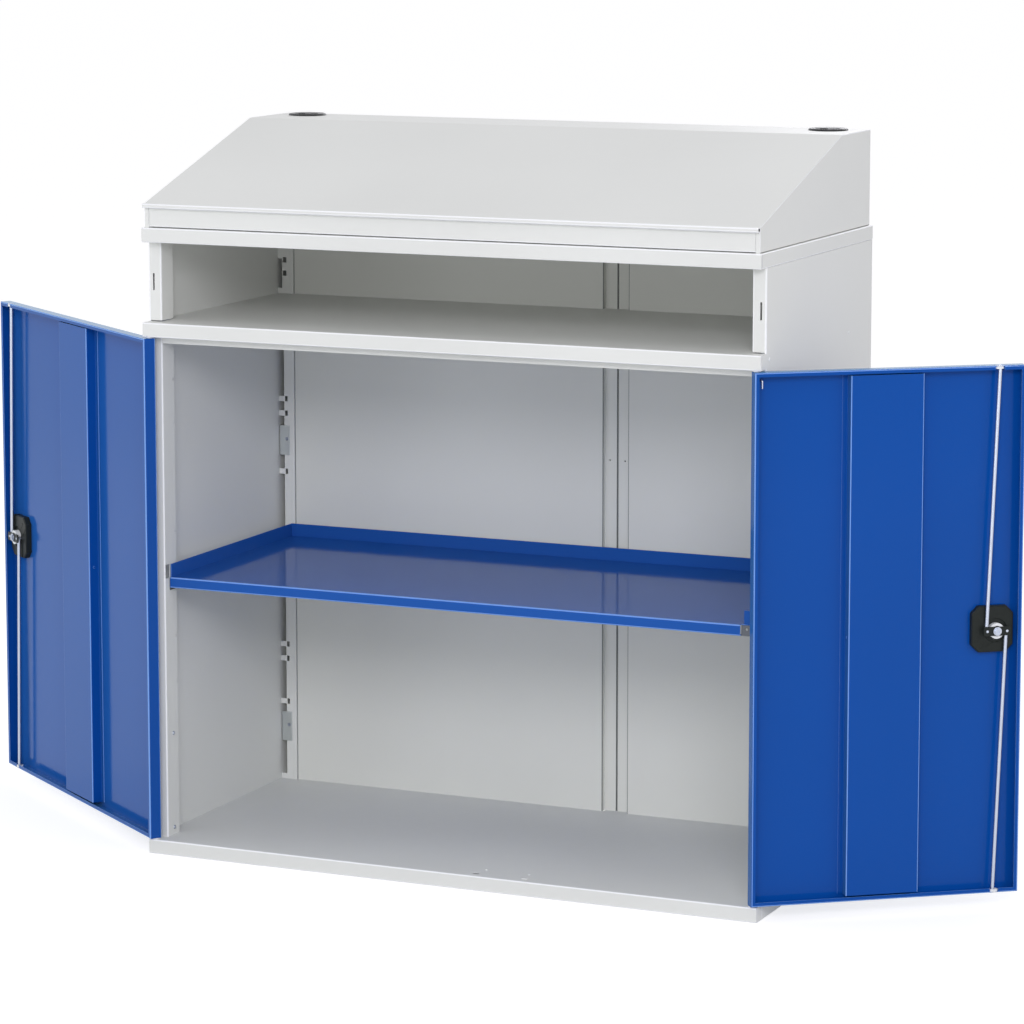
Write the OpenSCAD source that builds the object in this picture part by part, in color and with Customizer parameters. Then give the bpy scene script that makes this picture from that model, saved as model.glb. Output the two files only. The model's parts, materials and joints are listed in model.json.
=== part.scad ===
// Workshop desk cabinet of folded sheet steel: two doors of unequal width below, an open
// shelf space above them, and a sloping desk box on top.
// X points right, Y to the back and Z up, in millimetres. The origin is on the floor, in the
// middle of the footprint. The doors are drawn standing open.

/* [Cabinet] */
// Width of the cabinet
cab_w = 1030; // [960:1:1200]
// Depth of the cabinet
cab_d = 500; // [460:1:650]
// Height of the cabinet without the desk box
body_h = 1000; // [940:1:1150]
// Thickness of the sheet steel
sheet = 1; // [0.8:0.05:1.3]
// Height of the lips of base, middle plate and cap
lip_h = 23; // [21:0.5:28]
// Depth of the door space between the lips' front and the corner posts
door_room = 23; // [22.5:0.5:26]
// Width of the rim that is folded in below a lip
rim = 14; // [10:0.5:17]
// Outer radius of the folds that show
fold_r = 2; // [1.6:0.1:2.6]
// Top of the middle plate above the floor
mid_top = 851; // [800:1:870]
// Height of the strip that stops the doors below the middle lip
stop_h = 11; // [8:0.5:14]
// Gap at the corners of the cap, where its lips meet
corner_gap = 4; // [2:0.1:6]
// Gap between a post's foot and the middle plate
foot_gap = 1.6; // [1:0.1:2.5]

/* [Posts and back] */
// Width of a corner post, seen from the front
post_w = 22; // [20:0.5:28]
// Depth of a corner post
post_d = 37; // [34:0.5:48]
// Width of a rear corner post, seen from the front
rear_post_w = 29; // [26:0.5:34]
// Distance from the cabinet's rear to the front of the back panels
back_inset = 38; // [34:0.5:46]
// How far a rear post's face stands in front of the back panels
rear_rise = 3; // [2:0.1:5]
// Height of the notches and bridges in the posts
slot_h = 9; // [7:0.5:12]
// Depth of a notch in a post
slot_d = 6; // [4:0.5:8]
// Pitch of the shelf positions
slot_pitch = 24.6; // [20:0.1:32]
// Where the closed doors meet, right of the middle
seam_x = 92; // [60:1:120]
// Where the back panels meet, right of the middle
back_seam_x = 95.5; // [70:0.5:130]
// Width of the recess at each side of the back's seam
seam_w = 21.5; // [16:0.5:26]
// Depth of that recess
seam_drop = 9; // [5:0.5:12]

/* [Shelf] */
// Top of the shelf above the floor
shelf_top = 442; // [380:1:500]
// Distance from the lips' front to the shelf
shelf_front = 36; // [34:0.5:50]
// Height of the shelf's front lip
shelf_lip = 17; // [14:0.5:24]
// Height of the turned up edges at sides and back
shelf_edge = 21; // [14:0.5:28]
// Gap between the shelf and the corner posts
shelf_gap = 2; // [1:0.1:3]
// Width of the cut in the shelf's front right corner
shelf_cut = 18.5; // [16:0.5:26]

/* [Desk box] */
// Height of the desk box at the back
desk_h = 150; // [120:1:190]
// Height of the desk box at the front
desk_front_h = 38; // [30:1:60]
// Depth of the flat strip at the back of the desk
desk_flat = 135; // [110:1:160]
// Distance from the lips' front to the desk's front, and the same at the back
desk_in = 5; // [4:0.5:10]
// Distance from the cabinet's side to the desk's side
desk_side_in = 4; // [3:0.5:8]
// Gap below the walls of the desk box
desk_gap = 1.2; // [0.8:0.1:3]
// Width of the flanges at the desk's corners
desk_flange = 7; // [6:0.5:12]
// Overhang of the document stop over the desk's front
nose_out = 9; // [6:0.5:14]
// Height of the document stop
nose_h = 7; // [5:0.5:10]

/* [Cable outlets] */
// Diameter of the hole in the desk
outlet_d = 54; // [46:0.5:60]
// Diameter of the ring's flange
ring_d = 62; // [58:0.5:72]
// Height of the ring's flange over the desk
ring_h = 3; // [2:0.1:4]
// Diameter of the cap that turns in the ring
outlet_cap_d = 50; // [40:0.5:52]
// Distance of the outlets from the cabinet's side
outlet_side = 60; // [50:1:90]
// Distance of the outlets from the cabinet's rear
outlet_back = 44; // [42:0.5:60]
// Width of the cable notch
notch_w = 14; // [8:0.5:16]

/* [Doors] */
// Height of the gaps above and below the doors
door_gap = 2; // [1.6:0.1:4]
// Gap between the closed doors
meet_gap = 3; // [2:0.1:5]
// Depth of a door
door_t = 20; // [18:0.5:20.5]
// Distance of a closed door's face behind the lips' front
door_in = 1; // [0.8:0.1:1.5]
// Width of the lips turned in along a door's edges
door_lip = 6.5; // [5:0.5:8]
// Hinge axis behind the lips' front
pivot_y = 7.5; // [7:0.1:8]
// Hinge axis in from the cabinet's side
pivot_x = 9; // [8:0.1:9.5]
// How far a door reaches past its hinge axis
hinge_end = 6; // [5:0.1:6.2]
// Angle at which the doors stand open
door_open = 217; // [0:1:217]
// Width of the stiffener in a door
stiff_w = 113; // [90:1:130]
// Diameter of the hinge pins
pin_d = 5; // [4:0.1:6]
// Radial clearance of pins and shafts that turn
turn_fit = 0.05; // [0.02:0.01:0.09]

/* [Rod locks] */
// Distance of a lock's shaft from the door's free edge
lock_in = 39; // [37:0.5:46]
// Height of a lock's shaft above the floor
lock_z = 426; // [400:1:460]
// Width of the lock case
case_w = 65; // [58:0.5:72]
// Height of the lock case
case_h = 70; // [62:0.5:80]
// Depth of the lock case
case_t = 10.5; // [9:0.25:11]
// Cut of the lock case's corners
case_cut = 11; // [8:0.5:16]
// Distance of a rod's hook from the lock's shaft
crank_r = 15.5; // [13:0.5:17]
// Diameter of the rods
rod_d = 6; // [5:0.5:7]
// Diameter of the lock's shaft
shaft_d = 12; // [10:0.5:14]
// Length of the handle's grip
grip_l = 84; // [70:1:100]

/* [Hidden] */

round_fn = 48;
LEFT = -1;
RIGHT = 1;
X = cab_w / 2;
front = -cab_d / 2;
rear = cab_d / 2;
post_front = front + door_room;
post_in = X - post_w;
back_y = rear - back_inset;
rear_post_front = back_y - rear_rise;
rear_post_in = X - rear_post_w;
mid_lip_z = mid_top - lip_h;
cap_lip_z = body_h - lip_h;

// Doors, in each door's own frame: along u from the hinge axis to the free edge, w into the cabinet
door_z0 = lip_h + door_gap;
door_z1 = mid_lip_z - door_gap;
door_w0 = door_in - pivot_y;
door_w1 = door_w0 + door_t;
hinge_x = X - pivot_x;
left_reach = hinge_x + seam_x - meet_gap / 2;
right_reach = hinge_x - seam_x - meet_gap / 2;
case_off = 4.5;
skin_w = door_w0 + sheet;
case_w1 = skin_w + case_t;
cam_t = 2.2;
rod_w = case_w1 + 0.6 + rod_d / 2;
cam_w0 = rod_w + rod_d / 2 + 0.3;
stiff_h = door_t - 2 * sheet - 0.5;
// Middle of a stiffener, as a share of the door's reach
stiff_place = 0.48;
guide_r = 4.4;
guide_slot = 0.235 * crank_r;
guide_flange_r = 5;
rod_play = 0.2;
strike_play = 0.8;

// Colours as in the photograph
light_grey = [0.88, 0.89, 0.90];
mid_grey = [0.80, 0.81, 0.83];
blue = [0.12, 0.31, 0.66];
shelf_blue = [0.19, 0.37, 0.70];
dark_plastic = [0.17, 0.19, 0.18];
black_plastic = [0.07, 0.08, 0.08];
white_plastic = [0.93, 0.94, 0.95];
zinc = [0.84, 0.85, 0.88];

// Unit vector in the direction of v
function unit(v) = v / norm(v);
// A vector turned a quarter to the left
function turned(v) = [-v[1], v[0]];
// Direction of the leg that ends at point i of a path, and of the one that starts there
function leg_in(p, i) = unit(p[max(i, 1)] - p[max(i, 1) - 1]);
function leg_out(p, i) = let(n = len(p) - 2) unit(p[min(i, n) + 1] - p[min(i, n)]);
// Shift of point i of a path when every leg moves sideways by d
function shifted(p, i, d) =
    let(a = turned(leg_in(p, i)), b = turned(leg_out(p, i))) p[i] + d * (a + b) / (1 + a * b);
// Points of the arc that rounds corner i of a path with radius r, in n steps
function corner_arc(p, i, r, n) =
    let(a = leg_in(p, i), b = leg_out(p, i), side = sign(a[0] * b[1] - a[1] * b[0]),
        c = p[i] + side * r * (turned(a) + turned(b)) / (1 + a * b),
        start = atan2(a[1], a[0]), sweep = side * acos(min(1, a * b)))
    [for (k = [0:n]) let(g = start + sweep * k / n) c - side * r * [-sin(g), cos(g)]];
// A path with its corners rounded
function rounded(p, r, n = 5) =
    [for (i = [0:len(p) - 1])
        each (i == 0 || i == len(p) - 1) ? [p[i]] : corner_arc(p, i, r, n)];

// Cross-section of a folded sheet: the path is its outside, the sheet lies to the path's right
module fold(path, r = fold_r, t = sheet) {
    outside = rounded(path, r);
    inside_path = [for (i = [0:len(path) - 1]) shifted(path, i, -t)];
    inside = rounded(inside_path, max(r - t, 0.3));
    polygon(concat(outside, [for (i = [len(inside) - 1:-1:0]) inside[i]]));
}

// A shape in the plane of Y and Z, drawn out along X from x0 to x1
module along_x(x0, x1) {
    translate([x0, 0, 0])
        rotate([90, 0, 90])
            linear_extrude(x1 - x0)
                children();
}

// A shape in the plane of X and Z, drawn out along Y from y0 to y1
module along_y(y0, y1) {
    translate([0, y1, 0])
        rotate([90, 0, 0])
            linear_extrude(y1 - y0)
                children();
}

// A shape in the plane of X and Y, drawn out along Z from z0 to z1
module along_z(z0, z1) {
    translate([0, 0, z0])
        linear_extrude(z1 - z0)
            children();
}

// A box between two corners
module box(a, b) {
    translate(a)
        cube(b - a);
}

// A rectangle from a to b with all corners rounded
module softened(a, b, r) {
    translate(a + [r, 0])
        square(b - a - [2 * r, 0]);
    translate(a + [0, r])
        square(b - a - [0, 2 * r]);
    for (x = [a[0] + r, b[0] - r], y = [a[1] + r, b[1] - r])
        translate([x, y])
            circle(r, $fn = round_fn);
}

// A box with the edges of its top and bottom rounded
module softened_box(a, b, r) {
    intersection() {
        along_x(a[0], b[0])
            softened([a[1], a[2]], [b[1], b[2]], r);
        along_y(a[1], b[1])
            softened([a[0], a[2]], [b[0], b[2]], r);
    }
}

// A rod of round bar between two points
module bar(a, b, d) {
    v = b - a;
    translate(a)
        rotate([0, acos(v[2] / norm(v)), atan2(v[1], v[0])])
            cylinder(h = norm(v), d = d, $fn = round_fn);
}

// What follows on the left side, mirrored for the right one
module on_side(side) {
    mirror([side == RIGHT ? 1 : 0, 0, 0])
        children();
}

// A lip across the cabinet's front, with a narrow rim below, or with a floor as deep as the lip
module lip_box(z0, deep) {
    z1 = z0 + lip_h;
    along_x(-X, X)
        fold([[deep ? post_front : front + rim, z0], [front, z0], [front, z1], [post_front, z1]]);
}

// A plate between the posts, notched round them, with a tongue into the back's recess
module plate_outline() {
    inner = X - sheet;
    tongue = seam_w - back_fold_r - 0.1;
    polygon([
        [-post_in, post_front], [post_in, post_front],
        [post_in, post_front + post_d], [inner, post_front + post_d],
        [inner, rear_post_front], [rear_post_in, rear_post_front],
        [rear_post_in, back_y], [back_seam_x + tongue, back_y],
        [back_seam_x + tongue, back_y + seam_drop], [back_seam_x - tongue, back_y + seam_drop],
        [back_seam_x - tongue, back_y], [-rear_post_in, back_y],
        [-rear_post_in, rear_post_front], [-inner, rear_post_front],
        [-inner, post_front + post_d], [-post_in, post_front + post_d]
    ]);
}

// Slots for the tips of the closed doors' rods
module strike_holes(z0, z1, up) {
    r = rod_d / 2 + strike_play;
    for (side = [LEFT, RIGHT])
        on_side(side)
            translate([-hinge_x + shaft_u(side), front + pivot_y + rod_w, 0])
                guide_shape(side, up, r, z0, z1);
}

channel_w = 60;
bush_neck_r = 4;
bush_flange_r = 6.2;
bush_flange_t = door_gap - 0.4;

module bush_holes(z0, z1) {
    for (x = [-hinge_x, hinge_x])
        translate([x, front + pivot_y, z0])
            cylinder(h = z1 - z0, r = bush_neck_r, $fn = round_fn);
}

module base_plate() {
    flange = rim + 4;
    color(light_grey)
        difference() {
            union() {
                lip_box(0, false);
                for (side = [LEFT, RIGHT])
                    on_side(side)
                        box([-X, front + fold_r, 0], [-X + sheet, post_front, lip_h]);
                along_z(lip_h - sheet, lip_h)
                    plate_outline();
                for (side = [LEFT, RIGHT])
                    on_side(side)
                        box([-X + sheet, post_front + post_d, 2 * sheet],
                            [-X + 2 * sheet, rear_post_front, lip_h]);
                box([-rear_post_in, back_y - 2 * sheet, 0],
                    [rear_post_in, back_y - sheet, lip_h]);
                box([-rear_post_in, back_y - flange, 0],
                    [rear_post_in, back_y - sheet, sheet]);
            }
            strike_holes(lip_h - 2 * sheet, lip_h + 1, false);
            bush_holes(lip_h - 2 * sheet, lip_h + 1);
        }
}

// Channel below the floor plate, from front to back
module base_channel() {
    half = channel_w / 2;
    z = lip_h - 2 * sheet;
    color(light_grey)
        difference() {
            along_y(front + rim + 2, back_y - rim - 6)
                fold([[half + rim, z], [half, z], [half, 0], [-half, 0], [-half, z], [-half - rim, z]]);
            strike_holes(2 * sheet, z + 1, false);
        }
}

module middle_plate() {
    flange = lip_h - 3;
    stop_y = post_front - sheet / 2;
    color(light_grey)
        difference() {
            union() {
                lip_box(mid_lip_z, true);
                along_z(mid_top - sheet, mid_top)
                    plate_outline();
                box([-post_in, stop_y, mid_lip_z - stop_h], [post_in, stop_y + sheet, mid_lip_z + sheet]);
                for (side = [LEFT, RIGHT])
                    on_side(side)
                        box([-X + sheet, post_front + post_d, mid_top - flange],
                            [-X + 2 * sheet, rear_post_front, mid_top]);
                box([-rear_post_in, back_y - 2 * sheet, mid_top - flange],
                    [rear_post_in, back_y - sheet, mid_top]);
            }
            for (side = [LEFT, RIGHT])
                on_side(side)
                    box([-X - 1, front + sheet, mid_lip_z - 1], [-X + sheet, post_front + 1, mid_top + 1]);
            strike_holes(mid_lip_z - 1, mid_lip_z + 2 * sheet, true);
            bush_holes(mid_lip_z - 1, mid_lip_z + 2 * sheet);
        }
}

module cap_plate() {
    low = [-X, front, cap_lip_z];
    high = [X, rear, body_h];
    s = [sheet, sheet, sheet];
    color(light_grey)
        difference() {
            softened_box(low, high, fold_r);
            softened_box(low + s, high - s, fold_r - sheet);
            box(low + [rim, rim, -1], [X - rim, rear - rim, cap_lip_z + 2 * sheet]);
            for (side = [LEFT, RIGHT])
                on_side(side)
                    box([-X - 1, front + sheet, cap_lip_z - 1],
                        [-X + sheet + 0.5, front + sheet + corner_gap, body_h - fold_r]);
        }
}

// Heights of the notches in the front posts
door_space_h = mid_lip_z - lip_h;
front_notches = [for (k = [0.065, 0.303, 0.397, 0.606, 0.821, 0.908]) lip_h + k * door_space_h];
// A rear post's long slot: bridges cross it at some of the shelf positions, with a notch beside each
bridge_low = 157;
bridges = [for (n = [0, 3, 4, 16, 20, 21]) bridge_low + n * slot_pitch];
rear_slot_x = 11;
notch_gap = 1.3;
notch_x = 4.7;
plate_len = 50;
plate_wide = 18;
plate_thick = 1.5;
plate_heights = [lip_h + 0.082 * door_space_h, lip_h + 0.69 * door_space_h];

tab_gap = 2;
window_low = shelf_top - sheet;
window_high = shelf_top + 21;
window_d = 14;
head_notch = 3;
post_slot_x = 7;
post_slot_w = 3;
open_h = cap_lip_z - mid_top;

module side_panel(side) {
    top = cap_lip_z;
    color(light_grey)
        on_side(side)
            difference() {
                union() {
                    along_z(0, top)
                        fold([[-post_in, post_front + post_d], [-post_in, post_front], [-X, post_front],
                              [-X, rear], [-rear_post_in, rear]]);
                    for (z = [0, top - sheet])
                        box([-X + sheet, post_front + post_d, z], [-X + rim, rear - sheet, z + sheet]);
                    // Tab that closes the end of the middle lip
                    box([-X, front + sheet + tab_gap, mid_lip_z],
                        [-X + sheet, post_front + 2 * fold_r, mid_top]);
                }
                // Vertical slot in the post's face beside the open shelf space
                box([-X + post_slot_x, post_front - 1, mid_top + 0.39 * open_h],
                    [-X + post_slot_x + post_slot_w, post_front + sheet + 1, mid_top + 0.6 * open_h]);
                // Window for the shelf's hook in the inner face
                box([-post_in - sheet - 1, post_front + fold_r, window_low],
                    [-post_in + 1, post_front + fold_r + window_d, window_high]);
                // Gap at the post's foot, and a notch at its head
                box([-X + foot_gap + sheet, post_front - 1, mid_top],
                    [-post_in + 1, post_front + post_d + 1, mid_top + foot_gap]);
                box([-post_in - sheet - 1, post_front + post_d - head_notch, top - sheet - head_notch],
                    [-post_in + 1, post_front + post_d + 1, top + 1]);
                for (z = front_notches)
                    box([-post_in - sheet - 1, post_front + post_d - slot_d, z],
                        [-post_in + 1, post_front + post_d + 1, z + slot_h / 2]);
            }
}

module rear_post(side) {
    color(mid_grey)
        on_side(side)
            difference() {
                along_z(lip_h, cap_lip_z - sheet)
                    fold([[-rear_post_in, rear - sheet], [-rear_post_in, rear_post_front],
                          [-X + sheet, rear_post_front]]);
                // Long slot beside the side panel, with its bridges and notches
                for (i = [0:len(bridges)])
                    post_slot(0, rear_slot_x, i == 0 ? lip_h + slot_h : bridges[i - 1] + slot_h / 2,
                              i == len(bridges) ? mid_lip_z - slot_h : bridges[i] - slot_h / 2);
                for (z = bridges)
                    post_slot(rear_slot_x + notch_gap, rear_slot_x + notch_gap + notch_x,
                              z - slot_h / 2, z + slot_h / 2);
                // The same in the open shelf space
                post_slot(0, rear_slot_x - 2, mid_top + slot_h, mid_top + slot_h + 2 * slot_pitch);
                for (k = [1.2, 2.1])
                    post_slot(rear_slot_x - 2 + notch_gap, rear_slot_x + notch_gap + notch_x,
                              mid_top + k * slot_pitch, mid_top + k * slot_pitch + slot_h);
            }
}

// An opening in a rear post's face, from a to b away from the side panel's outside
module post_slot(a, b, z0, z1) {
    box([-X + a, rear_post_front - 1, z0], [-X + b, rear_post_front + sheet + 0.6, z1]);
}

// Plates on the rear posts' faces, which close the slots where the posts are screwed to the sides
module post_plates() {
    color(zinc)
        for (side = [LEFT, RIGHT], z = plate_heights)
            on_side(side)
                box([-X + sheet + 2, rear_post_front - plate_thick, z],
                    [-X + sheet + 2 + plate_wide, rear_post_front, z + plate_len]);
}

back_t = 0.8;
back_fold_r = 1.4;
seam_gap = 0.5;
seam_hole_z = 604;
seam_hole_d = 3;
seam_hole_in = 0.6 * seam_w;

// One half of the back, seen in plan: flat, with a recess at the seam
module back_panel(side) {
    seam = -side * back_seam_x - seam_gap / 2;
    color(mid_grey)
        on_side(side)
            difference() {
                along_z(lip_h, body_h - sheet)
                    fold([[seam, back_y + seam_drop + 8], [seam, back_y + seam_drop],
                          [seam - seam_w, back_y + seam_drop], [seam - seam_w, back_y],
                          [-rear_post_in, back_y], [-rear_post_in, back_y + 10]], back_fold_r, back_t);
                translate([seam - seam_hole_in, back_y + seam_drop - 1, seam_hole_z])
                    rotate([-90, 0, 0])
                        cylinder(h = 3, d = seam_hole_d, $fn = round_fn);
            }
}

// Blind nut behind a hole beside the back's seam
module seam_nut() {
    rotate([-90, 0, 0])
        difference() {
            cylinder(h = 5, d = seam_hole_d + 3, $fn = round_fn);
            translate([0, 0, -1])
                cylinder(h = 5, d = seam_hole_d, $fn = round_fn);
        }
}

shelf_x = post_in - shelf_gap;
shelf_back = rear_post_front - shelf_gap;

module shelf() {
    front_y = front + shelf_front;
    cut_x = shelf_x - shelf_cut;
    color(shelf_blue)
        difference() {
            union() {
                along_x(-shelf_x, shelf_x)
                    fold([[front_y + 10, shelf_top - shelf_lip], [front_y, shelf_top - shelf_lip],
                          [front_y, shelf_top], [shelf_back - 0.01, shelf_top]]);
                along_x(-shelf_x, shelf_x)
                    square_edge(shelf_back);
                for (side = [LEFT, RIGHT])
                    on_side(side)
                        box([-shelf_x, front_y + fold_r, shelf_top - sheet],
                            [-shelf_x + sheet, shelf_back, shelf_top + shelf_edge]);
                box([cut_x + 4, front_y + 6, shelf_top - sheet],
                    [shelf_x, front_y + 6 + sheet, shelf_top + shelf_edge]);
            }
            box([cut_x, front_y - 1, shelf_top - shelf_lip - 1],
                [shelf_x + 1, front_y + 6, shelf_top + shelf_edge + 1]);
        }
}

// Turned up edge along the shelf's back
module square_edge(y) {
    translate([y - sheet, shelf_top - sheet])
        square([sheet, shelf_edge + sheet]);
}

clip_t = 1.5;
clip_h = 20;
clip_l = 16;
clip_hook = 6;

// Carrier below a corner of the shelf: one leg on the post at x, one below the shelf
module shelf_clip(x, y0) {
    seat = shelf_top - sheet;
    box([-x, y0, seat - clip_h], [-x + clip_t, y0 + clip_l, seat]);
    box([-x, y0, seat - clip_t], [-x + clip_h * 0.8, y0 + clip_l, seat]);
}

module shelf_clips() {
    y_front = front + shelf_front + sheet + 1;
    seat = shelf_top - sheet;
    color(zinc) {
        shelf_clip(post_in, y_front);
        // Its hook lies on the lower edge of the post's window
        box([-post_in - clip_hook, y_front, window_low],
            [-post_in + clip_t, post_front + fold_r + window_d - 1, window_low + clip_t]);
        for (side = [LEFT, RIGHT])
            on_side(side) {
                box([-rear_post_in - clip_l / 2, rear_post_front - clip_t, seat - clip_h],
                    [-rear_post_in + clip_l, rear_post_front, seat]);
                box([-rear_post_in - clip_l / 2, rear_post_front - clip_h, seat - clip_t],
                    [-rear_post_in + clip_l, rear_post_front, seat]);
            }
    }
}

// The carrier that shows through the cut in the shelf's front right corner
module shelf_clip_front_right() {
    y_front = front + shelf_front + 3;
    y_end = y_front + 20;
    low = shelf_top - shelf_lip;
    face_w = shelf_cut + 1;
    color(zinc)
        on_side(RIGHT)
            difference() {
                union() {
                    box([-post_in, y_front, low], [-post_in + clip_t, y_end, shelf_top - sheet]);
                    box([-post_in, y_front, low], [-post_in + face_w, y_front + clip_t, shelf_top - sheet]);
                    box([-post_in, y_front, shelf_top - sheet - clip_t],
                        [-post_in + face_w, y_end, shelf_top - sheet]);
                }
                translate([-post_in + face_w * 0.58, y_front - 1, shelf_top - 7])
                    rotate([-90, 0, 0])
                        cylinder(h = 4, d = 4, $fn = round_fn);
            }
}

// Desk box
desk_x = X - desk_side_in;
outlet_x = X - outlet_side;
desk_y0 = front + desk_in;
desk_y1 = rear - desk_in;
desk_z0 = body_h + desk_gap;
desk_z1 = body_h + desk_h;
desk_front_z = body_h + desk_front_h;
slope_end = desk_y1 - desk_flat;
cover_t = 1.2;
desk_joint = 0.5;
slope_turn = atan2(desk_z1 - desk_front_z, slope_end - desk_y0);

// Side view of the desk below its cover
module desk_profile(z0, drop) {
    lift = drop / cos(slope_turn);
    polygon([[desk_y0, z0], [desk_y1, z0], [desk_y1, desk_z1 - drop],
             [slope_end + drop * tan(slope_turn / 2), desk_z1 - drop],
             [desk_y0, desk_front_z - lift]]);
}

module desk_side(side) {
    top = desk_front_z - nose_h;
    color(light_grey)
        on_side(side)
            union() {
                along_x(-desk_x, -desk_x + sheet)
                    desk_profile(desk_z0, cover_t);
                box([-desk_x, desk_y0, body_h], [-desk_x + desk_flange, desk_y0 + sheet, top]);
                box([-desk_x, desk_y1 - sheet, body_h],
                    [-desk_x + desk_flange, desk_y1, desk_z1 - cover_t]);
                box([-desk_x, desk_y0 + rim + 1, desk_z0],
                    [-desk_x + rim, desk_y1 - rim - 1, desk_z0 + sheet]);
            }
}

module desk_front() {
    top = desk_front_z - nose_h;
    half = desk_x - desk_flange - desk_joint;
    color(light_grey)
        along_x(-half, half)
            fold([[desk_y0 + rim, desk_z0], [desk_y0 + 0.3, desk_z0],
                  [desk_y0 + 0.3, top], [desk_y0 + rim, top]]);
}

module desk_back() {
    half = desk_x - desk_flange - desk_joint;
    color(light_grey)
        along_x(-half, half)
            fold([[desk_y1 - rim / 2, desk_z1 - cover_t], [desk_y1, desk_z1 - cover_t],
                  [desk_y1, desk_z0], [desk_y1 - rim, desk_z0]]);
}

module desk_cover() {
    nose_y = desk_y0 - nose_out;
    nose_z = desk_front_z - nose_h;
    color(light_grey)
        difference() {
            along_x(-desk_x, desk_x)
                fold([[desk_y0 + sheet + rim, nose_z], [nose_y, nose_z], [nose_y, desk_front_z],
                      [desk_y0, desk_front_z], [slope_end, desk_z1], [desk_y1, desk_z1]], fold_r, cover_t);
            // The nose's rim ends at the side walls
            for (side = [LEFT, RIGHT])
                on_side(side)
                    box([-desk_x - 1, desk_y0, nose_z - 1],
                        [-desk_x + sheet, desk_y0 + sheet + rim + 1, nose_z + cover_t + 0.3]);
            for (side = [LEFT, RIGHT])
                translate([side * outlet_x, rear - outlet_back, desk_z1 - 3])
                    cylinder(h = 6, d = outlet_d, $fn = round_fn);
        }
}

// Cable outlets
cap_play = 0.05;
ring_depth = 18;
cap_t = 2.4;

module outlet_ring(side) {
    neck_r = outlet_d / 2 - 0.3;
    color(black_plastic)
        translate([side * outlet_x, rear - outlet_back, desk_z1])
            rotate_extrude($fn = 96)
                polygon([[outlet_cap_d / 2 + cap_play, ring_h], [outlet_cap_d / 2 + cap_play, ring_h - cap_t],
                         [outlet_cap_d / 2 - 2, ring_h - cap_t], [outlet_cap_d / 2 - 2, -ring_depth],
                         [neck_r, -ring_depth], [neck_r, 0], [ring_d / 2, 0],
                         [ring_d / 2, ring_h * 0.5], [ring_d / 2 - ring_h * 0.5, ring_h]]);
}

module outlet_cap(side) {
    color(black_plastic)
        translate([side * outlet_x, rear - outlet_back, desk_z1 + ring_h - cap_t])
            difference() {
                union() {
                    cylinder(h = cap_t, d = outlet_cap_d, $fn = 96);
                    translate([0, 0, cap_t])
                        cylinder(h = 0.8, d = outlet_cap_d - 10, $fn = 96);
                }
                // The cable notch opens towards the front
                translate([0, -outlet_cap_d / 2 + 4, -1])
                    cylinder(h = cap_t + 3, d = notch_w, $fn = round_fn);
                box([-notch_w / 2, -outlet_cap_d / 2 - 2, -1],
                    [notch_w / 2, -outlet_cap_d / 2 + 4, cap_t + 2]);
            }
}

// Small parts of the cabinet
module hinge_bush(z_flange, up) {
    bore = pin_d / 2 + turn_fit;
    translate([0, 0, z_flange])
        mirror([0, 0, up ? 0 : 1])
            difference() {
                union() {
                    cylinder(h = bush_flange_t, r = bush_flange_r, $fn = round_fn);
                    cylinder(h = bush_flange_t + sheet + 2, r = bush_neck_r, $fn = round_fn);
                }
                translate([0, 0, -1])
                    cylinder(h = bush_flange_t + sheet + 4, r = bore, $fn = round_fn);
            }
}

module hinge_bushes() {
    color(white_plastic)
        for (side = [LEFT, RIGHT])
            translate([side * hinge_x, front + pivot_y, 0]) {
                hinge_bush(mid_lip_z - bush_flange_t, true);
                hinge_bush(lip_h + bush_flange_t, false);
            }
}

rivet_in = 109;

module rivet_head(d, h) {
    cylinder(h = h, d1 = d, d2 = d * 0.6, $fn = round_fn);
}

// Blind rivets in the middle plate's side flanges and in the floor plate, and nuts in the back
module panel_rivets() {
    color(mid_grey) {
        for (side = [LEFT, RIGHT], y = [post_front + 14, rear - rivet_in])
            on_side(side)
                translate([-X, y, mid_top - lip_h * 0.4])
                    rotate([0, -90, 0])
                        rivet_head(6, 1);
        for (side = [LEFT, RIGHT]) {
            translate([seam_x + side * 36, front + 42, lip_h])
                rivet_head(5, 1);
            translate([back_seam_x + side * (seam_gap / 2 + seam_hole_in),
                       back_y + seam_drop + back_t, seam_hole_z])
                seam_nut();
        }
    }
}

// Screws in the inner faces of the front posts, and through the rear posts' plates
module post_screws() {
    color(zinc)
        for (side = [LEFT, RIGHT])
            on_side(side) {
                for (z = [lip_h + lip_h / 2, lip_h + 0.205 * door_space_h])
                    translate([-post_in, post_front + post_d / 2 + 3, z])
                        rotate([0, 90, 0])
                            rivet_head(7, 1.6);
                for (z = plate_heights)
                    translate([-X + sheet + 2 + plate_wide * 0.7, rear_post_front - plate_thick,
                               z + plate_len * 0.55])
                        rotate([90, 0, 0])
                            rivet_head(6, 1.6);
            }
}

// Doors. A door is drawn closed with its hinge axis at the origin, then turned open.
module placed(side) {
    on_side(side)
        translate([-hinge_x, front + pivot_y, 0])
            rotate([0, 0, -door_open])
                children();
}

function reach(side) = side == LEFT ? left_reach : right_reach;
function shaft_u(side) = reach(side) - lock_in;

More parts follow.
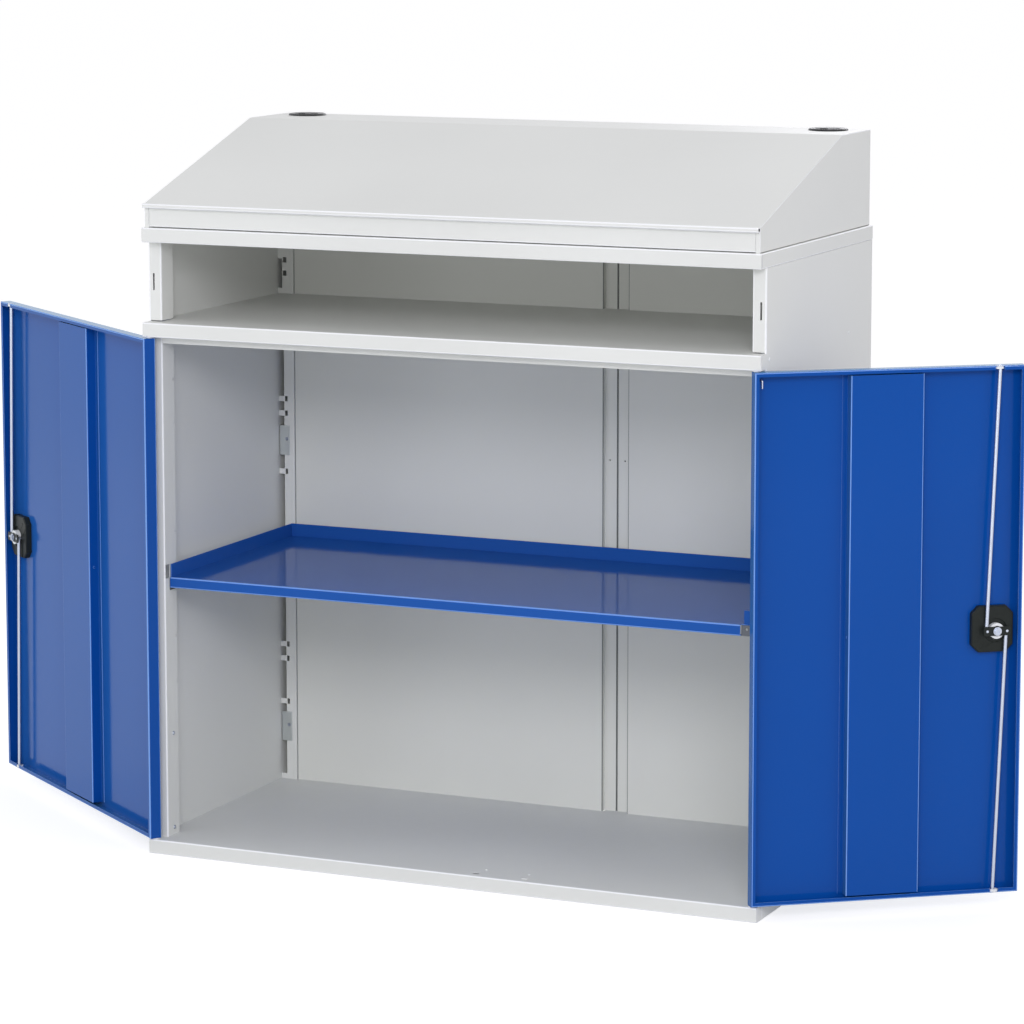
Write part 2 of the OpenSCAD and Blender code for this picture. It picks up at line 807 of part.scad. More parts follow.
module door_panel(side) {
    a = [-hinge_end, door_w0, door_z0];
    b = [reach(side), door_w1, door_z1];
    s = [sheet, sheet, sheet];
    color(blue)
        placed(side)
            difference() {
                door_block(a, b, fold_r);
                door_block(a + s, b - s, fold_r - sheet);
                box([a[0] + door_lip, b[1] - 2 * sheet, a[2] + door_lip],
                    [b[0] - door_lip, b[1] + 1, b[2] - door_lip]);
                // Holes in both ends for the hinge pins
                translate([0, 0, door_z0 - 1])
                    cylinder(h = door_z1 - door_z0 + 2, d = pin_d, $fn = round_fn);
                // Holes in both ends for the rod guides, and gaps in the lips beside them
                for (up = [true, false])
                    guide_place(side, up) {
                        guide_shape(side, up, guide_r, -sheet - 1, 1);
                        translate([min(0, guide_sway(side, up)) - guide_flange_r - 0.2, 0, -door_lip - 1])
                            cube([2 * guide_flange_r + guide_slot + 0.4, 20, door_lip + 1 - sheet]);
                    }
                translate([shaft_u(side), door_w0 - 1, lock_z])
                    rotate([-90, 0, 0])
                        cylinder(h = 4, d = shaft_d + 4, $fn = round_fn);
            }
}

// A block with the edges of both its faces across Y rounded
module door_block(a, b, r) {
    intersection() {
        along_x(a[0], b[0])
            softened([a[1], a[2]], [b[1], b[2]], r);
        along_z(a[2], b[2])
            softened([a[0], a[1]], [b[0], b[1]], r);
    }
}

// Place of a rod guide, with Z out of the door's end
module guide_place(side, up) {
    translate([shaft_u(side), rod_w, up ? door_z1 : door_z0])
        mirror([0, 0, up ? 0 : 1])
            children();
}

// How far a guide's slot reaches towards the free edge
function guide_sway(side, up) = (up ? 1 : -1) * (side == LEFT ? 1 : -1) * guide_slot;

// Slot shape of a rod guide between the heights z0 and z1
module guide_shape(side, up, r, z0, z1) {
    sway = guide_sway(side, up);
    translate([0, 0, z0]) {
        cylinder(h = z1 - z0, r = r, $fn = round_fn);
        translate([sway, 0, 0])
            cylinder(h = z1 - z0, r = r, $fn = round_fn);
        translate([min(0, sway), -r, 0])
            cube([guide_slot, 2 * r, z1 - z0]);
    }
}

stiff_foot = 8;
stiff_fold_r = 1.4;
stiff_end = 2;
button_d = 6;
button_h = 1.2;

module door_stiffener(side) {
    mid = stiff_place * reach(side);
    a = mid - stiff_w / 2;
    b = mid + stiff_w / 2;
    top = skin_w + stiff_h;
    color(blue)
        placed(side) {
            along_z(door_z0 + door_lip + stiff_end, door_z1 - door_lip - stiff_end)
                fold([[a - stiff_foot, skin_w + sheet], [a, skin_w + sheet], [a, top], [b, top],
                      [b, skin_w + sheet], [b + stiff_foot, skin_w + sheet]], stiff_fold_r, sheet);
            // Button in the wall on the hinge's side
            translate([a + sheet / 2, (skin_w + top) / 2, (door_z0 + door_z1) / 2])
                rotate([0, -90, 0])
                    rivet_head(button_d, button_h + sheet / 2);
        }
}

// Octagon of the lock case, centred beside the shaft
module case_outline(grow) {
    w = case_w / 2 + grow;
    h = case_h / 2 + grow;
    c = case_cut;
    polygon([[-w, -h + c], [-w + c, -h], [w - c, -h], [w, -h + c],
             [w, h - c], [w - c, h], [-w + c, h], [-w, h - c]]);
}

// A shape in the door's plane, drawn into the cabinet from depth w0 to w1
module in_door(side, w0, w1) {
    translate([shaft_u(side), w1, lock_z])
        rotate([90, 0, 0])
            linear_extrude(w1 - w0)
                children();
}

module lock_case(side) {
    shift = [-case_off, 2];
    hand = side == LEFT ? -1 : 1;
    color(dark_plastic)
        placed(side) {
            difference() {
                union() {
                    in_door(side, skin_w, skin_w + case_t - 1)
                        translate(shift)
                            case_outline(0);
                    in_door(side, skin_w + case_t - 1, skin_w + case_t)
                        translate(shift)
                            case_outline(-1);
                    // Two slanting ribs beside the hub
                    for (k = [0, 1])
                        in_door(side, case_w1 - 1, case_w1 + 0.5)
                            translate([-28 + 9 * k, -hand * (12 + 9.5 * k)])
                                rotate(hand * 45)
                                    square([13, 3.2], center = true);
                }
                // Round recess in which the cam's hub stands
                in_door(side, case_w1 - 1.5, case_w1 + 2)
                    circle(recess_r, $fn = round_fn);
                in_door(side, skin_w - 1, case_w1 + 1)
                    circle(shaft_d / 2 + turn_fit, $fn = round_fn);
            }
        }
}

recess_r = 18;
ring_r0 = 7.8;
ring_r1 = 11.8;

module lock_ring(side) {
    color(white_plastic)
        placed(side)
            in_door(side, case_w1 - 1.5, cam_w0 - 0.3)
                difference() {
                    circle(ring_r1, $fn = round_fn);
                    circle(ring_r0, $fn = round_fn);
                }
}

cam_half = 21.5;
cam_h = 13.5;
hook_r = 2;

// The cam: a bar across the shaft, with a hole for each rod's hook
module cam(side) {
    color(dark_plastic)
        placed(side)
            difference() {
                union() {
                    in_door(side, cam_w0, cam_w0 + cam_t)
                        intersection() {
                            square([2 * cam_half, cam_h], center = true);
                            circle(cam_half, $fn = 96);
                        }
                    in_door(side, skin_w - 2, cam_w0)
                        circle(shaft_d / 2, $fn = round_fn);
                }
                for (k = [-1, 1])
                    in_door(side, cam_w0 - 1, cam_w0 + cam_t + 1)
                        translate([k * crank_r, 0])
                            circle(hook_r + turn_fit, $fn = round_fn);
            }
}

module cam_screw(side) {
    color(zinc)
        placed(side)
            difference() {
                union() {
                    in_door(side, cam_w0 + cam_t, cam_w0 + cam_t + 1)
                        circle(6.5, $fn = round_fn);
                    in_door(side, cam_w0 + cam_t + 1, cam_w0 + cam_t + 3)
                        circle(4.6, $fn = round_fn);
                }
                in_door(side, cam_w0 + cam_t + 1.6, cam_w0 + cam_t + 4)
                    circle(2.4, $fn = 6);
            }
}

rod_z0 = door_z0 - 0.4;
rod_z1 = door_z1 + 0.4;

// A rod from its hook in the cam to its guide in the door's end
module rod(side, up) {
    hand = side == LEFT ? 1 : -1;
    u0 = shaft_u(side) + (up ? hand : -hand) * crank_r;
    tip = up ? rod_z1 : rod_z0;
    foot = [u0, rod_w, lock_z];
    color(zinc)
        placed(side) {
            bar(foot, [shaft_u(side), rod_w, tip], rod_d);
            // The inner end is pressed flat, with a pin into the cam
            translate([u0, rod_w - rod_d / 2 + 0.3, lock_z])
                rotate([-90, 0, 0])
                    cylinder(h = rod_d - 0.6, r = rod_d / 2 + 0.2, $fn = round_fn);
            translate([u0, rod_w, lock_z])
                rotate([-90, 0, 0])
                    cylinder(h = cam_w0 + cam_t - rod_w, r = hook_r, $fn = round_fn);
        }
}

// Slotted guides in the door's ends: the slot lets the rod sway while the cam turns
module rod_guides(side) {
    color(white_plastic)
        placed(side)
            for (up = [true, false])
                guide_place(side, up)
                    difference() {
                        union() {
                            guide_shape(side, up, guide_r, -sheet - 4, 0);
                            guide_shape(side, up, guide_flange_r, -sheet - 4, -sheet);
                        }
                        guide_shape(side, up, rod_d / 2 + rod_play, -10, 1);
                    }
}

// Hinge pins: the top one is bent wire that hooks over the door's lip
module hinge_pins(side) {
    wire = 2.6;
    top = mid_lip_z + sheet + 3;
    color(zinc)
        placed(side) {
            translate([0, 0, door_z1 - 14])
                cylinder(h = top - door_z1 + 14, d = pin_d, $fn = round_fn);
            rotate([0, 0, 50]) {
                translate([0, 0, door_z1 - 12])
                    rotate([0, 90, 0])
                        cylinder(h = 8, d = wire, $fn = round_fn);
                translate([8, 0, door_z1 - 14])
                    rotate([-90, 0, 0])
                        rotate([0, 0, -90])
                            rotate_extrude(angle = 90, $fn = round_fn)
                                translate([2, 0])
                                    circle(d = wire, $fn = round_fn);
                translate([10, 0, door_z1 - 24])
                    cylinder(h = 10, d = wire, $fn = round_fn);
            }
            translate([0, 0, lip_h - sheet - 3])
                cylinder(h = door_z0 + 12 - lip_h + sheet + 3, d = pin_d, $fn = round_fn);
        }
}

plate_t = 3;

module escutcheon(side) {
    color(dark_plastic)
        placed(side)
            difference() {
                in_door(side, door_w0 - plate_t, door_w0)
                    translate([-case_off, 2])
                        case_outline(-3);
                in_door(side, door_w0 - plate_t - 1, door_w0 + 1)
                    circle(shaft_d / 2 + turn_fit, $fn = round_fn);
            }
}

handle_w0 = door_w0 - plate_t - 0.4;
grip_out = 22;

// Handle in front of the door: a round boss with a grip bar across it
module handle(side) {
    color(black_plastic)
        placed(side)
            difference() {
                union() {
                    in_door(side, handle_w0 - 9, handle_w0)
                        circle(20, $fn = 96);
                    in_door(side, handle_w0, skin_w - 2)
                        circle(shaft_d / 2, $fn = round_fn);
                    in_door(side, handle_w0 - grip_out, handle_w0 - 9)
                        intersection() {
                            square([grip_l, 15], center = true);
                            circle(grip_l / 2, $fn = 96);
                        }
                }
                in_door(side, handle_w0 - grip_out - 1, handle_w0 - grip_out + 3)
                    circle(9, $fn = round_fn);
                // The grip is undercut at both ends, so that fingers reach behind it
                for (k = [-1, 1])
                    in_door(side, handle_w0 - 16, handle_w0 - 9)
                        translate([k * (grip_l / 2 + 4), 0])
                            circle(22, $fn = 96);
            }
}

module key_cylinder(side) {
    color(zinc)
        placed(side)
            difference() {
                in_door(side, handle_w0 - grip_out - 1, handle_w0 - grip_out + 3)
                    circle(8.9, $fn = round_fn);
                in_door(side, handle_w0 - grip_out - 2, handle_w0 - grip_out + 1)
                    square([7, 1.6], center = true);
            }
}

base_plate();
base_channel();
side_panel(LEFT);  // side_panel_left
side_panel(RIGHT);  // side_panel_right
middle_plate();
cap_plate();
back_panel(LEFT);  // back_panel_left
back_panel(RIGHT);  // back_panel_right
rear_post(LEFT);  // rear_post_left
rear_post(RIGHT);  // rear_post_right
post_plates();
shelf();
shelf_clip_front_right();
shelf_clips();
desk_side(LEFT);  // desk_side_left
desk_side(RIGHT);  // desk_side_right
desk_front();
desk_cover();
desk_back();
outlet_ring(LEFT);  // outlet_ring_left
outlet_ring(RIGHT);  // outlet_ring_right
outlet_cap(LEFT);  // outlet_cap_left
outlet_cap(RIGHT);  // outlet_cap_right
hinge_bushes();
panel_rivets();
post_screws();
door_panel(LEFT);  // left_door_panel
door_stiffener(LEFT);  // left_door_stiffener
lock_case(LEFT);  // left_lock_case
lock_ring(LEFT);  // left_lock_ring
rod_guides(LEFT);  // left_rod_guides
hinge_pins(LEFT);  // left_hinge_pins
escutcheon(LEFT);  // left_escutcheon
handle(LEFT);  // left_handle
cam(LEFT);  // left_cam
cam_screw(LEFT);  // left_cam_screw
key_cylinder(LEFT);  // left_key_cylinder
rod(LEFT, true);  // left_upper_rod
rod(LEFT, false);  // left_lower_rod
door_panel(RIGHT);  // right_door_panel
door_stiffener(RIGHT);  // right_door_stiffener
lock_case(RIGHT);  // right_lock_case
lock_ring(RIGHT);  // right_lock_ring
rod_guides(RIGHT);  // right_rod_guides
hinge_pins(RIGHT);  // right_hinge_pins
escutcheon(RIGHT);  // right_escutcheon
handle(RIGHT);  // right_handle
cam(RIGHT);  // right_cam
cam_screw(RIGHT);  // right_cam_screw
key_cylinder(RIGHT);  // right_key_cylinder
rod(RIGHT, true);  // right_upper_rod
rod(RIGHT, false);  // right_lower_rod
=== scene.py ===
"""Looks of the workshop desk cabinet: finishes, softened edges, light and camera."""
import json
import math

import bpy
from mathutils import Matrix, Vector


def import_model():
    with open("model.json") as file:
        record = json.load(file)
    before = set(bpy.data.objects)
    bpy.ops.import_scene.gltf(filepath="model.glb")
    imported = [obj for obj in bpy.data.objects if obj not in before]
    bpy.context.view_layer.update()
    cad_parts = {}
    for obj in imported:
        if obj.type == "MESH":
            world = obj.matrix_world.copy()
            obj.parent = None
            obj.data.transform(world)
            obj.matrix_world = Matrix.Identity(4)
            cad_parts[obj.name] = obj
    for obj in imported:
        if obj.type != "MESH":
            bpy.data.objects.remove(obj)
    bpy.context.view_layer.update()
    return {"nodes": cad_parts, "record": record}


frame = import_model()
nodes = frame["nodes"]
scene = bpy.context.scene
scene.view_settings.view_transform = "Standard"

# Camera, from a fit to corners of the cabinet. Angles are in degrees, its place is in metres
CAMERA_AZIMUTH = 23.9974
CAMERA_PITCH = 7.7084
CAMERA_ROLL = -0.0254
CAMERA_PLACE = (2.4875, -5.5729, 1.5690)
CAMERA_LENS_PX = 3916.0
CAMERA_SHIFT = 0.12
CAMERA_REACH = 200.0
PICTURE_PX = 1024.0
SENSOR_MM = 36.0

# Most of a noise lies between these two values
NOISE_LOW = 0.3
NOISE_HIGH = 0.7

# A colour mix node has these sockets for its factor, its two colours and its result
MIX_FACTOR = 0
MIX_FIRST = 6
MIX_SECOND = 7
MIX_RESULT = 2

# Powder coat: sizes in metres, shades as factors of the colour, gloss as steps of roughness
CLOUD_SIZE = 0.35
CLOUD_SHADES = (0.97, 1.02)
GLOSS_PATCH_SIZE = 0.02
GLOSS_STEPS = (-0.02, 0.03)
PEEL_SIZE = 0.0022
SHEEN_ROUGHNESS = 0.4
SHEEN_TINT = (0.4, 1.0, 1.0, 1.0)

# Zinc plate: sizes and depth in metres, the marks drawn out along the height
SPOT_SIZE = 0.03
SPOT_SHADES = (0.96, 1.04)
SPOT_ROUGHNESS = (0.38, 0.3)
DRAWING_SIZE = 0.0008
DRAWING_STRETCH = (1.0, 1.0, 0.08)
DRAWING_DEPTH = 0.000004

# Moulded plastic: sizes in metres
MOTTLE_SIZE = 0.006
MOTTLE_SHADES = (0.9, 1.12)
MOTTLE_STEP = 0.04
GRAIN_SIZE = 0.0007

# Colour and colour on the folds in 8 bits, roughness, specular level, depth of orange peel, sheen. A
# fold colour paler than its paint is a painted highlight, a darker one is painted shade
POWDER_COATS = {
    "light_grey_paint": ((225, 226, 222), (244, 245, 246), 0.42, 0.3, 0.000008, 0.0),
    "rear_paint": ((225, 226, 222), (225, 226, 222), 0.42, 0.3, 0.000008, 0.0),
    # Back panels: the dark fold colour is painted shade, which draws the shadowed lines at the panels'
    # seam
    "back_paint": ((225, 226, 220), (126, 130, 128), 0.42, 0.3, 0.000008, 0.0),
    "blue_paint": ((7, 74, 158), (122, 164, 230), 0.13, 0.12, 0.0000003, 0.2),
    # The shelf's blue is the door blue made lighter: painted light on the shelf
    "shelf_paint_painted_lighter": ((36, 88, 170), (118, 158, 228), 0.1, 0.05, 0.0000003, 0.0),
}
# Linear colour. The darkest entry is zinc made about four times darker: painted shade for shelf clips
# that sit in shadow
ZINC_PLATES = {
    "zinc": (0.474, 0.511, 0.594),
    "zinc_painted_shade": (0.107, 0.116, 0.134),
    "zinc_pale": (0.66, 0.69, 0.69),
}
# Colour in 8 bits, roughness, specular level, depth of the grain
PLASTICS = {
    "dark_plastic": ((32, 36, 34), 0.4, 0.15, 0.00002),
    "black_plastic": ((22, 24, 25), 0.32, 0.4, 0.000012),
    "white_plastic": ((226, 228, 230), 0.35, 0.5, 0.00001),
}
# Nodes with their own kind of the finish that the record names
FINISH = {
    # The shelf takes a lighter copy of the blue paint: painted light
    "shelf": "shelf_paint_painted_lighter",
    # The shelf clips take the darkened zinc: painted shade
    "shelf_clips": "zinc_painted_shade",
    "shelf_clip_front_right": "zinc_painted_shade",
    # The back panels take the coat whose dark folds are painted shade
    "back_panel_left": "back_paint",
    "back_panel_right": "back_paint",
    "rear_post_left": "rear_paint",
    "rear_post_right": "rear_paint",
    "post_plates": "zinc_pale",
}

# Faces narrower than this in metres, with outward bends above this in degrees, are outer folds
FOLD_WIDTH = 0.0014
FOLD_BEND = 3.0
# A long thin triangle's width is this many times its area over its edges' mean length
THIN_TRIANGLE = 1.333
# Corners nearer than this in metres are one corner
JOIN_DISTANCE = 0.000002
# Bends above this in degrees are edges, all others are shaded round
SHARP_ANGLE = 32.0
# Above 50, large faces set the shading more than small ones do
FLAT_WEIGHT = 90

EDGE_SEGMENTS = 2
# Rounding of edges in metres, by the end of a node's name
ROUNDINGS = {
    "lock_case": 0.0009,
    "cam": 0.0006,
    "handle": 0.0009,
    "escutcheon": 0.0009,
    "key_cylinder": 0.0004,
    "cam_screw": 0.0004,
    "hinge_bushes": 0.0003,
    "rod_guides": 0.0003,
    "hinge_pins": 0.0003,
    "outlet_ring_left": 0.0005,
    "outlet_ring_right": 0.0005,
    "outlet_cap_left": 0.0005,
    "outlet_cap_right": 0.0005,
    "upper_rod": 0.0006,
    "lower_rod": 0.0006,
    "shelf_clips": 0.0003,
    "shelf_clip_front_right": 0.0003,
    "post_plates": 0.0003,
}

FLOOR_SIZE = 120
FLOOR_COLOUR = (0.6, 0.6, 0.6, 1.0)
FLOOR_ROUGHNESS = 0.9
# Own light of the floor where it is seen, which brings it to white
FLOOR_LIFT = 0.62
WORLD_COLOUR = (1.0, 0.998, 1.03, 1.0)
WORLD_LIGHT = 0.63
WORLD_SEEN = 1.0
# Name, place, aim, size, power and colour
LAMPS = [
    ("front_high", (2.4, -5.2, 3.0), (0.0, 0.0, 0.7), (2.5, 1.5), 99.0, (1.0, 0.99, 1.06)),
    ("front_level", (1.2, -5.4, 1.0), (0.0, 0.0, 0.9), (1.6, 0.5), 26.0, (0.985, 1.0, 1.03)),
    ("left_side", (-4.5, -1.2, 1.6), (0.0, 0.0, 0.7), (2.5, 2.5), 42.0, (0.94, 1.0, 1.04)),
    ("right_side", (4.5, -1.2, 1.6), (0.0, 0.0, 0.7), (2.5, 2.5), 26.0, (1.0, 1.0, 1.06)),
    ("left_low", (-2.6, -4.2, 1.0), (0.0, 0.0, 0.6), (1.4, 2.0), 12.0, (0.96, 1.0, 1.04)),
    ("right_low", (2.5, -4.33, 0.35), (0.0, 0.0, 0.4), (0.9, 0.5), 3.0, (0.9, 0.97, 1.05)),
    ("back", (0.0, 4.5, 2.9), (0.0, 0.2, 1.15), (2.5, 1.0), 45.0, (1.0, 1.0, 1.05)),
]


def camera():
    """Camera at the photograph's place. Azimuth is to the right of the front, pitch looks down."""
    data = bpy.data.cameras.new("camera")
    data.sensor_fit = "HORIZONTAL"
    data.sensor_width = SENSOR_MM
    data.lens = CAMERA_LENS_PX / PICTURE_PX * data.sensor_width
    data.shift_y = -CAMERA_SHIFT
    data.clip_end = CAMERA_REACH
    az = math.radians(CAMERA_AZIMUTH)
    pitch = math.radians(CAMERA_PITCH)
    roll = math.radians(CAMERA_ROLL)
    ahead = Vector((-math.sin(az) * math.cos(pitch), math.cos(az) * math.cos(pitch), -math.sin(pitch)))
    level = Vector((math.cos(az), math.sin(az), 0.0))
    upright = level.cross(ahead)
    right = level * math.cos(roll) + upright * math.sin(roll)
    up = -level * math.sin(roll) + upright * math.cos(roll)
    turn = Matrix((right, up, -ahead)).transposed().to_4x4()
    obj = bpy.data.objects.new("camera", data)
    scene.collection.objects.link(obj)
    obj.matrix_world = Matrix.Translation(CAMERA_PLACE) @ turn
    scene.camera = obj


def linear(colour):
    """Linear colour of an 8-bit display colour, by the standard display curve."""
    out = []
    for v in colour:
        v = v / 255.0
        out.append(v / 12.92 if v <= 0.04045 else ((v + 0.055) / 1.055) ** 2.4)
    return (*out, 1.0)


def shade(colour, factor):
    """A colour made darker or brighter by a factor."""
    return (*[min(1.0, c * factor) for c in colour[:3]], 1.0)


def new_material(name):
    """Material with its node tree, its shader and its texture coordinates in metres."""
    mat = bpy.data.materials.new(name)
    mat.use_nodes = True
    tree = mat.node_tree
    shader = tree.nodes["Principled BSDF"]
    coords = tree.nodes.new("ShaderNodeTexCoord")
    return mat, tree, shader, coords.outputs["Object"]


def combine(tree, kind, first, second):
    """Math node of a kind, of two sockets or of a socket and a number."""
    node = tree.nodes.new("ShaderNodeMath")
    node.operation = kind
    for socket, value in zip(node.inputs, (first, second)):
        if isinstance(value, float):
            socket.default_value = value
        else:
            tree.links.new(value, socket)
    return node.outputs[0]


def noise(tree, coords, size, detail, stretch=None):
    """Noise whose features are about size metres wide, or longer along an axis with a small stretch."""
    node = tree.nodes.new("ShaderNodeTexNoise")
    node.inputs["Scale"].default_value = 1.0 / size
    node.inputs["Detail"].default_value = detail
    if stretch:
        mapping = tree.nodes.new("ShaderNodeMapping")
        mapping.inputs["Scale"].default_value = stretch
        tree.links.new(coords, mapping.inputs["Vector"])
        coords = mapping.outputs["Vector"]
    tree.links.new(coords, node.inputs["Vector"])
    return node.outputs["Fac"]


def shades(tree, fac, colour, factors):
    """A colour that goes with a noise from one factor of it to another."""
    node = tree.nodes.new("ShaderNodeValToRGB")
    for stop, place, factor in zip(node.color_ramp.elements, (NOISE_LOW, NOISE_HIGH), factors):
        stop.position = place
        stop.color = shade(colour, factor)
    tree.links.new(fac, node.inputs["Fac"])
    return node.outputs["Color"]


def spread(tree, fac, low, high):
    """A value that goes with a noise from low to high."""
    node = tree.nodes.new("ShaderNodeMapRange")
    node.inputs["From Min"].default_value = NOISE_LOW
    node.inputs["From Max"].default_value = NOISE_HIGH
    node.inputs["To Min"].default_value = low
    node.inputs["To Max"].default_value = high
    tree.links.new(fac, node.inputs["Value"])
    return node.outputs["Result"]


def bump(tree, shader, height, depth):
    """Bump of a height given as a factor, depth in metres."""
    node = tree.nodes.new("ShaderNodeBump")
    node.inputs["Strength"].default_value = 1.0
    node.inputs["Distance"].default_value = depth
    tree.links.new(height, node.inputs["Height"])
    tree.links.new(node.outputs["Normal"], shader.inputs["Normal"])


def powder_coat(name, colour, painted_fold_light_and_shade, gloss, specular, peel, sheen):
    """Baked powder coat: faint clouds of colour, uneven gloss, orange peel, and a fold colour that
    paints a highlight on outer folds where it is paler and shade where it is darker.
    """
    mat, tree, shader, coords = new_material(name)
    paint = shades(tree, noise(tree, coords, CLOUD_SIZE, 1.0), linear(colour), CLOUD_SHADES)
    folds = tree.nodes.new("ShaderNodeAttribute")
    folds.attribute_name = "outer_fold"
    # Painted light: the fold colour paints a highlight on outer folds where it is paler than the paint,
    # and shade where it is darker
    mix = tree.nodes.new("ShaderNodeMix")
    mix.data_type = "RGBA"
    mix.inputs[MIX_SECOND].default_value = linear(painted_fold_light_and_shade)
    tree.links.new(folds.outputs["Fac"], mix.inputs[MIX_FACTOR])
    tree.links.new(paint, mix.inputs[MIX_FIRST])
    tree.links.new(mix.outputs[MIX_RESULT], shader.inputs["Base Color"])
    shader.inputs["Sheen Weight"].default_value = sheen
    shader.inputs["Sheen Roughness"].default_value = SHEEN_ROUGHNESS
    shader.inputs["Sheen Tint"].default_value = SHEEN_TINT
    shader.inputs["Specular IOR Level"].default_value = specular
    patches = noise(tree, coords, GLOSS_PATCH_SIZE, 2.0)
    roughness = spread(tree, patches, gloss + GLOSS_STEPS[0], gloss + GLOSS_STEPS[1])
    tree.links.new(roughness, shader.inputs["Roughness"])
    bump(tree, shader, noise(tree, coords, PEEL_SIZE, 1.0), peel)
    return mat


def zinc_plate(name, colour):
    """Zinc plated steel: metal with drawing marks along its height and dull spots."""
    mat, tree, shader, coords = new_material(name)
    shader.inputs["Metallic"].default_value = 1.0
    spots = noise(tree, coords, SPOT_SIZE, 1.0)
    tree.links.new(shades(tree, spots, colour, SPOT_SHADES), shader.inputs["Base Color"])
    tree.links.new(spread(tree, spots, *SPOT_ROUGHNESS), shader.inputs["Roughness"])
    bump(tree, shader, noise(tree, coords, DRAWING_SIZE, 2.0, DRAWING_STRETCH), DRAWING_DEPTH)
    return mat


def plastic(name, colour, gloss, specular, grain):
    """Moulded plastic with a fine eroded grain."""
    mat, tree, shader, coords = new_material(name)
    shader.inputs["Specular IOR Level"].default_value = specular
    mottle = noise(tree, coords, MOTTLE_SIZE, 3.0)
    tree.links.new(shades(tree, mottle, linear(colour), MOTTLE_SHADES), shader.inputs["Base Color"])
    roughness = spread(tree, mottle, gloss - MOTTLE_STEP, gloss + MOTTLE_STEP)
    tree.links.new(roughness, shader.inputs["Roughness"])
    bump(tree, shader, noise(tree, coords, GRAIN_SIZE, 3.0), grain)
    return mat


def make_materials():
    """All finishes, by name."""
    materials = {}
    for name, values in POWDER_COATS.items():
        materials[name] = powder_coat(name, *values)
    for name, colour in ZINC_PLATES.items():
        materials[name] = zinc_plate(name, colour)
    for name, values in PLASTICS.items():
        materials[name] = plastic(name, *values)
    return materials


def dress_nodes(materials):
    """Each CAD node gets the finish that the record names for it, or its own kind of it."""
    for row in frame["record"]["subparts"]:
        name = row["node"]
        finish = FINISH.get(name, row["material_slot"])
        slots = nodes[name].data.materials
        slots.clear()
        slots.append(materials[finish])


def mark_folds(group, mesh):
    """Stores outer_fold = 1 on narrow faces that bend outward along their long edges."""
    ends = group.nodes.new("GeometryNodeInputMeshEdgeVertices")
    apart = group.nodes.new("ShaderNodeVectorMath")
    apart.operation = "DISTANCE"
    group.links.new(ends.outputs["Position 1"], apart.inputs[0])
    group.links.new(ends.outputs["Position 2"], apart.inputs[1])
    length = apart.outputs["Value"]
    angle = group.nodes.new("GeometryNodeInputMeshEdgeAngle")
    bend = combine(group, "MULTIPLY", angle.outputs["Signed Angle"], length)
    means = []
    for value in (length, bend):
        mean = group.nodes.new("GeometryNodeFieldOnDomain")
        mean.domain = "EDGE"
        group.links.new(value, mean.inputs[0])
        means.append(mean.outputs[0])
    mean_length, mean_bend = means
    area = group.nodes.new("GeometryNodeInputMeshFaceArea")
    scaled_area = combine(group, "MULTIPLY", area.outputs[0], THIN_TRIANGLE)
    width = combine(group, "DIVIDE", scaled_area, mean_length)
    narrow = combine(group, "LESS_THAN", width, FOLD_WIDTH)
    face_bend = combine(group, "DIVIDE", mean_bend, mean_length)
    outward = combine(group, "GREATER_THAN", face_bend, math.radians(FOLD_BEND))
    both = combine(group, "MULTIPLY", narrow, outward)
    store = group.nodes.new("GeometryNodeStoreNamedAttribute")
    store.domain = "FACE"
    store.inputs["Name"].default_value = "outer_fold"
    group.links.new(mesh, store.inputs["Geometry"])
    group.links.new(both, store.inputs["Value"])
    return store.outputs["Geometry"]


def fold_shading():
    """Node group that joins a mesh's split faces, marks its folds and shades it round between edges."""
    group = bpy.data.node_groups.new("fold_shading", "GeometryNodeTree")
    group.interface.new_socket("Geometry", in_out="INPUT", socket_type="NodeSocketGeometry")
    group.interface.new_socket("Geometry", in_out="OUTPUT", socket_type="NodeSocketGeometry")
    start = group.nodes.new("NodeGroupInput")
    joined = group.nodes.new("GeometryNodeMergeByDistance")
    joined.inputs["Distance"].default_value = JOIN_DISTANCE
    plain = group.nodes.new("GeometryNodeRemoveAttribute")
    plain.inputs["Name"].default_value = "custom_normal"
    smooth = group.nodes.new("GeometryNodeSetShadeSmooth")
    angle = group.nodes.new("GeometryNodeInputMeshEdgeAngle")
    steep = group.nodes.new("FunctionNodeCompare")
    steep.operation = "GREATER_THAN"
    steep.inputs[1].default_value = math.radians(SHARP_ANGLE)
    sharp = group.nodes.new("GeometryNodeSetShadeSmooth")
    sharp.domain = "EDGE"
    sharp.inputs["Shade Smooth"].default_value = False
    end = group.nodes.new("NodeGroupOutput")
    group.links.new(start.outputs[0], joined.inputs["Geometry"])
    group.links.new(joined.outputs[0], plain.inputs["Geometry"])
    group.links.new(mark_folds(group, plain.outputs[0]), smooth.inputs["Geometry"])
    group.links.new(smooth.outputs[0], sharp.inputs["Geometry"])
    group.links.new(angle.outputs["Unsigned Angle"], steep.inputs[0])
    group.links.new(steep.outputs[0], sharp.inputs["Selection"])
    group.links.new(sharp.outputs[0], end.inputs[0])
    return group


def soften_nodes():
    """Folds shaded round, flat sheets kept flat, and moulded or turned pieces with rounded edges."""
    group = fold_shading()
    for name, obj in nodes.items():
        shading = obj.modifiers.new("fold_shading", "NODES")
        shading.node_group = group
        for end, radius in ROUNDINGS.items():
            if name.endswith(end):
                bevel = obj.modifiers.new("edges", "BEVEL")
                bevel.limit_method = "ANGLE"
                bevel.angle_limit = math.radians(SHARP_ANGLE)
                bevel.width = radius
                bevel.segments = EDGE_SEGMENTS
                bevel.use_clamp_overlap = True
        flat = obj.modifiers.new("flat_faces", "WEIGHTED_NORMAL")
        flat.keep_sharp = True
        flat.weight = FLAT_WEIGHT


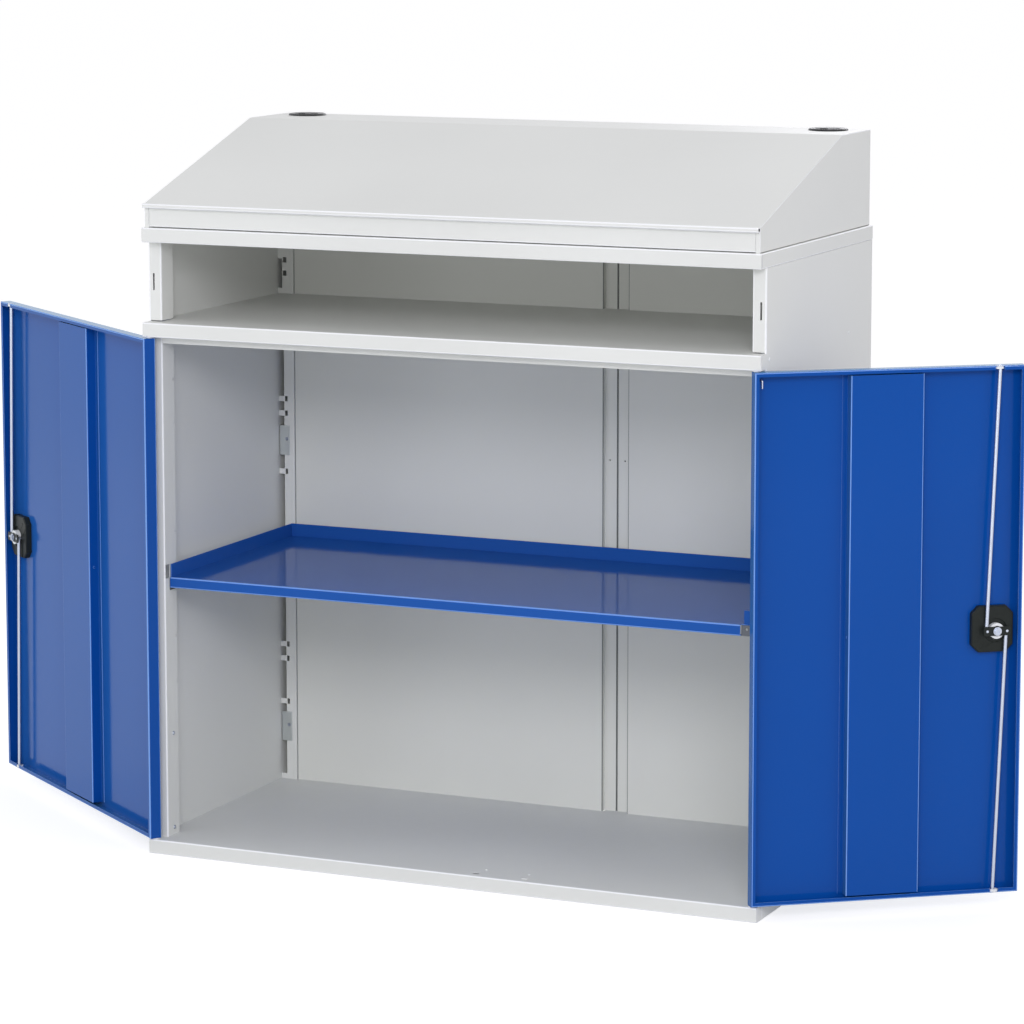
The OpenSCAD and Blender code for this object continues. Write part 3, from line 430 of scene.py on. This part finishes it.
def seen(tree):
    """Factor that is one for camera, glossy and transmission rays, so that mirrors show what is seen."""
    rays = tree.nodes.new("ShaderNodeLightPath").outputs
    first = combine(tree, "MAXIMUM", rays["Is Camera Ray"], rays["Is Glossy Ray"])
    return combine(tree, "MAXIMUM", first, rays["Is Transmission Ray"])


def floor():
    """Plain floor, pale grey to the light and white where it is seen."""
    mat, tree, shader, _ = new_material("floor_paint")
    shader.inputs["Base Color"].default_value = FLOOR_COLOUR
    shader.inputs["Roughness"].default_value = FLOOR_ROUGHNESS
    shader.inputs["Specular IOR Level"].default_value = 0.0
    shader.inputs["Emission Color"].default_value = (1.0, 1.0, 1.0, 1.0)
    lift = combine(tree, "MULTIPLY", seen(tree), FLOOR_LIFT)
    tree.links.new(lift, shader.inputs["Emission Strength"])
    bpy.ops.mesh.primitive_plane_add(size=FLOOR_SIZE, location=(0, 0, 0))
    obj = bpy.context.object
    obj.name = "floor"
    obj.data.materials.append(mat)


def world():
    """Plain world, at a low level as a light and white where it is seen."""
    data = bpy.data.worlds.new("studio")
    data.use_nodes = True
    tree = data.node_tree
    back = tree.nodes["Background"]
    back.inputs["Color"].default_value = WORLD_COLOUR
    strength = tree.nodes.new("ShaderNodeMapRange")
    strength.inputs["To Min"].default_value = WORLD_LIGHT
    strength.inputs["To Max"].default_value = WORLD_SEEN
    tree.links.new(seen(tree), strength.inputs["Value"])
    tree.links.new(strength.outputs["Result"], back.inputs["Strength"])
    scene.world = data


def softbox(name, place, aim, size, power, colour):
    """Flat rectangular lamp at a place, turned to its aim."""
    data = bpy.data.lights.new(name, "AREA")
    data.shape = "RECTANGLE"
    data.size, data.size_y = size
    data.energy = power
    data.color = colour
    obj = bpy.data.objects.new(name, data)
    scene.collection.objects.link(obj)
    obj.location = place
    obj.rotation_euler = (Vector(aim) - Vector(place)).to_track_quat("-Z", "Y").to_euler()


camera()
dress_nodes(make_materials())
soften_nodes()
floor()
world()
for lamp in LAMPS:
    softbox(*lamp)
